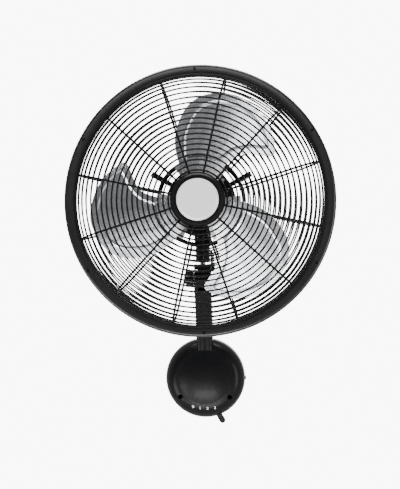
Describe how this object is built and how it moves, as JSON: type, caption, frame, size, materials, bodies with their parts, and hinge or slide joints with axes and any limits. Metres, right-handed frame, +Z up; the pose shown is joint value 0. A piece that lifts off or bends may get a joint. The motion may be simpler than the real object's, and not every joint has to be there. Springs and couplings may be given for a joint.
{
  "type": "wall mounted fan",
  "caption": "Wall mounted oscillating fan with a round wire guard, metal blades, a slanting arm with tilt knob and a round base with a speed lever",
  "frame": {"origin": "Middle of the wall plate's back face, on the wall", "axes": "+Y points into the wall, the fan's front looks along -Y, +Z is up, +X is to the right as seen from the front"},
  "size_m": [0.5499, 0.3414, 0.7673],
  "materials": {
    "black_coat": "satin black powder coat",
    "black_wire": "gloss black dipped wire",
    "blade_sheet": "bright rolled sheet",
    "disc_brushed": "brushed, clear coated",
    "black_plastic": "fine matt black",
    "grommet_rubber": "black rubber",
    "zinc_steel": "zinc plated",
    "rivet_aluminium": "plain",
    "hub_steel": "black enamel",
    "core_steel": "stacked sheet",
    "bronze": "turned bronze",
    "winding_copper": "varnished copper",
    "gear_case_alloy": "die cast",
    "capacitor_can": "plain white can"
  },
  "bodies": {
    "base": {"wall_plate": "zinc_steel", "base_cover": "black_coat", "base_cover_screws": "black_coat", "foot_bolts": "zinc_steel", "speed_switch": "black_plastic", "run_capacitor": "capacitor_can", "capacitor_strap": "zinc_steel", "terminal_block": "black_plastic", "cable_grommet": "grommet_rubber", "arm": "black_coat", "arm_rear_lid": "black_coat", "arm_lid_screws": "zinc_steel", "tilt_bolt": "zinc_steel", "tilt_washers": "zinc_steel", "tilt_nut": "zinc_steel"},
    "lever": {"speed_lever": "black_plastic", "switch_spindle": "zinc_steel"},
    "knob": {"tilt_knob": "black_plastic"},
    "tilt_frame": {"tilt_block": "black_coat", "pivot_shaft": "zinc_steel", "pivot_clip": "zinc_steel", "link_post": "zinc_steel"},
    "link": {"crank_link": "zinc_steel"},
    "head": {"neck": "black_coat", "neck_bush": "bronze", "motor_front_bell": "black_coat", "motor_rear_bell": "black_coat", "motor_bolts": "zinc_steel", "stator_core": "core_steel", "stator_windings": "winding_copper", "motor_bearings": "zinc_steel", "gear_case": "gear_case_alloy", "motor_rear_cover": "black_plastic", "rear_guard_rings": "black_wire", "rear_side_rings": "black_wire", "rear_guard_spokes": "black_wire", "front_guard_rings": "black_wire", "front_side_rings": "black_wire", "front_guard_spokes": "black_wire", "rim_band": "black_coat", "rim_screws": "black_coat", "guard_spider": "black_coat", "guard_screws": "black_coat", "guard_clamps": "black_wire", "front_centre_plate": "black_coat", "centre_cap": "black_coat", "badge_disc": "disc_brushed"},
    "rotor": {"rotor_core": "core_steel", "motor_shaft": "zinc_steel", "worm": "zinc_steel", "blade_hub": "hub_steel", "blade_1": "blade_sheet", "blade_2": "blade_sheet", "blade_3": "blade_sheet", "blade_rivets": "rivet_aluminium", "hub_nut": "zinc_steel"},
    "reduction_wheel": {"worm_wheel": "bronze"},
    "crank": {"crank_gear": "zinc_steel", "crank_arm": "zinc_steel"},
    "pull_knob": {"swing_knob": "black_plastic"}
  },
  "joints": [
    {"name": "speed_lever_turn", "type": "hinge", "parent": "base", "child": "lever", "pos_m": [0, -0.019, -0.031], "axis": [0, 1, 0], "range_deg": [0, 72]},
    {"name": "tilt_knob_turn", "type": "hinge", "parent": "base", "child": "knob", "pos_m": [-0.03, -0.135, 0.228], "axis": [-1, 0, 0], "range_deg": [-180, 180]},
    {"name": "tilt", "type": "hinge", "parent": "base", "child": "tilt_frame", "pos_m": [0, -0.135, 0.228], "axis": [1, 0, 0], "range_deg": [-10, 30]},
    {"name": "swing", "type": "hinge", "parent": "tilt_frame", "child": "head", "pos_m": [0, -0.135, 0.285], "axis": [0, 0, 1], "range_deg": [-40, 40]},
    {"name": "link_turn", "type": "hinge", "parent": "tilt_frame", "child": "link", "pos_m": [0.0199, -0.1235, 0.278], "axis": [0, 0, 1], "range_deg": [-43, 43]},
    {"name": "rotor_spin", "type": "hinge", "parent": "head", "child": "rotor", "pos_m": [0, -0.2, 0.39], "axis": [0, 1, 0], "continuous": true},
    {"name": "wheel_spin", "type": "hinge", "parent": "head", "child": "reduction_wheel", "pos_m": [-0.019, -0.09, 0.39], "axis": [0, 0, 1], "continuous": true},
    {"name": "crank_spin", "type": "hinge", "parent": "head", "child": "crank", "pos_m": [0, -0.09, 0.36], "axis": [0, 0, 1], "continuous": true},
    {"name": "swing_knob_pull", "type": "slide", "parent": "head", "child": "pull_knob", "axis": [0, 0, 1], "range_m": [0, 0.007]}
  ],
  "couplings": [
    {"joint": "link_turn", "follows": "swing", "ratio": 1.07},
    {"joint": "wheel_spin", "follows": "rotor_spin", "ratio": 0.025},
    {"joint": "crank_spin", "follows": "rotor_spin", "ratio": -0.00625}
  ]
}
